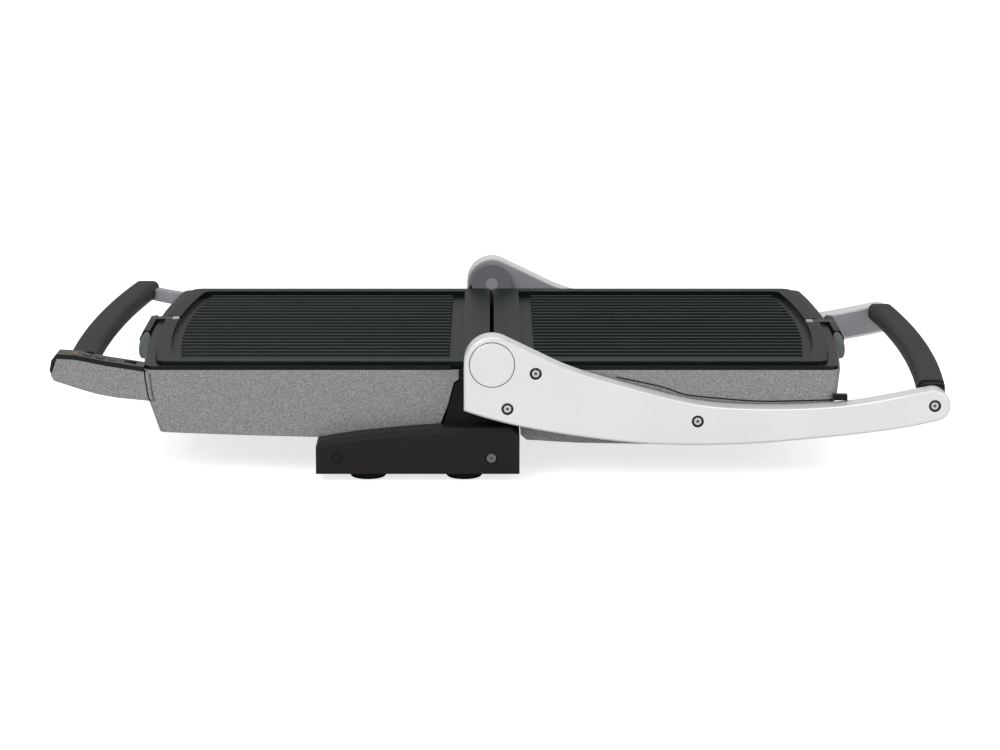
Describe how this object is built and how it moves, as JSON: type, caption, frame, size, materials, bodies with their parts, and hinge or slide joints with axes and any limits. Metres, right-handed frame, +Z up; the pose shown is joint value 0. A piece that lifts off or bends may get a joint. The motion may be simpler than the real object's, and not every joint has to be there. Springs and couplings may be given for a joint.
{
  "type": "contact grill",
  "caption": "Table-top electric contact grill opened flat: ribbed plates on both halves, silver lid arms, bowed grips and a black pedestal.",
  "frame": {"origin": "centre of the bottom of the opened grill, on the surface that it stands on", "axes": "+X along the open grill towards the grip of the lid, +Y across it away from the control pod, +Z up"},
  "size_m": [0.6484, 0.347, 0.106],
  "materials": {
    "arm_silver": "satin silver",
    "cover_grey": "satin grey",
    "housing_paint": "metallic grey paint",
    "plate_coating": "dark non-stick coating",
    "frame_black": "black heat-resistant plastic",
    "reflector_aluminium": "bright sheet",
    "ballast_steel": "galvanised steel",
    "bright_steel": "bright steel",
    "grip_rubber": "soft touch",
    "foot_rubber": "matt",
    "deck_gloss": "gloss black",
    "lamp_amber": "amber lens",
    "cap_grey": "light grey plastic",
    "board_green": "circuit board",
    "black_plastic": "black plastic"
  },
  "bodies": {
    "base": {"base_plate": "ballast_steel", "base_screws": "bright_steel", "base_shell": "black_plastic", "base_side_screws": "bright_steel", "control_board": "board_green", "control_pod": "housing_paint", "display_window": "deck_gloss", "hinge_pin_far": "bright_steel", "hinge_pin_near": "bright_steel", "hinge_post_far": "black_plastic", "hinge_post_near": "black_plastic", "hinge_washer_far": "black_plastic", "hinge_washer_near": "black_plastic", "inlet_blades": "bright_steel", "lamp_lens": "lamp_amber", "lower_grill_plate": "plate_coating", "lower_grip": "grip_rubber", "lower_handle_bar": "cover_grey", "lower_heating_element": "bright_steel", "lower_housing": "housing_paint", "lower_latch_bracket": "black_plastic", "lower_latch_caps": "cap_grey", "lower_latch_pin": "bright_steel", "lower_reflector": "reflector_aluminium", "lower_rim_frame": "frame_black", "lower_thermostat": "black_plastic", "pod_deck": "deck_gloss", "power_inlet": "black_plastic", "rubber_feet": "foot_rubber", "terminal_block": "black_plastic"},
    "yoke": {"arm_cover_far": "cover_grey", "arm_cover_near": "cover_grey", "arm_screws_far": "bright_steel", "arm_screws_near": "bright_steel", "arm_shell_far": "arm_silver", "arm_shell_near": "arm_silver", "hub_cap_far": "arm_silver", "hub_cap_near": "arm_silver", "upper_grip": "grip_rubber", "upper_grip_collars": "black_plastic", "upper_grip_core": "bright_steel"},
    "upper_unit": {"tilt_pin_far": "bright_steel", "tilt_pin_near": "bright_steel", "tilt_stop_tabs": "black_plastic", "upper_grill_plate": "plate_coating", "upper_heating_element": "bright_steel", "upper_housing": "housing_paint", "upper_latch_bracket": "black_plastic", "upper_latch_caps": "cap_grey", "upper_latch_pin": "bright_steel", "upper_reflector": "reflector_aluminium", "upper_rim_frame": "frame_black", "upper_thermal_fuse": "black_plastic"},
    "lower_latch": {"lower_latch_clip": "bright_steel", "lower_latch_lever": "black_plastic"},
    "upper_latch": {"upper_latch_clip": "bright_steel", "upper_latch_lever": "black_plastic"},
    "power_key": {"button_power": "black_plastic"},
    "mode_key": {"button_mode": "black_plastic"},
    "heat_key": {"button_heat": "black_plastic"}
  },
  "joints": [
    {"name": "lid_hinge", "type": "hinge", "parent": "base", "child": "yoke", "pos_m": [-0.0078, 0, 0.086], "axis": [0, -1, 0], "range_deg": [0, 180]},
    {"name": "float_tilt", "type": "hinge", "parent": "yoke", "child": "upper_unit", "pos_m": [0.1385, 0, 0.045], "axis": [0, -1, 0], "range_deg": [0, 2], "stiffness_Nm_per_rad": 20, "springref_deg": -3.44},
    {"name": "lower_latch_release", "type": "hinge", "parent": "base", "child": "lower_latch", "pos_m": [-0.2679, 0, 0.071], "axis": [0, -1, 0], "range_deg": [0, 6], "stiffness_Nm_per_rad": 0.6, "springref_deg": -11.46},
    {"name": "upper_latch_release", "type": "hinge", "parent": "upper_unit", "child": "upper_latch", "pos_m": [0.2523, 0, 0.071], "axis": [0, 1, 0], "range_deg": [0, 6], "stiffness_Nm_per_rad": 0.6, "springref_deg": -11.46},
    {"name": "power_press", "type": "slide", "parent": "base", "child": "power_key", "axis": [-0.2004, 0, -0.9797], "range_m": [0, 0.0008], "stiffness_N_per_m": 300, "springref_m": -0.001},
    {"name": "mode_press", "type": "slide", "parent": "base", "child": "mode_key", "axis": [-0.2004, 0, -0.9797], "range_m": [0, 0.0008], "stiffness_N_per_m": 300, "springref_m": -0.001},
    {"name": "heat_press", "type": "slide", "parent": "base", "child": "heat_key", "axis": [-0.2004, 0, -0.9797], "range_m": [0, 0.0008], "stiffness_N_per_m": 300, "springref_m": -0.001}
  ]
}
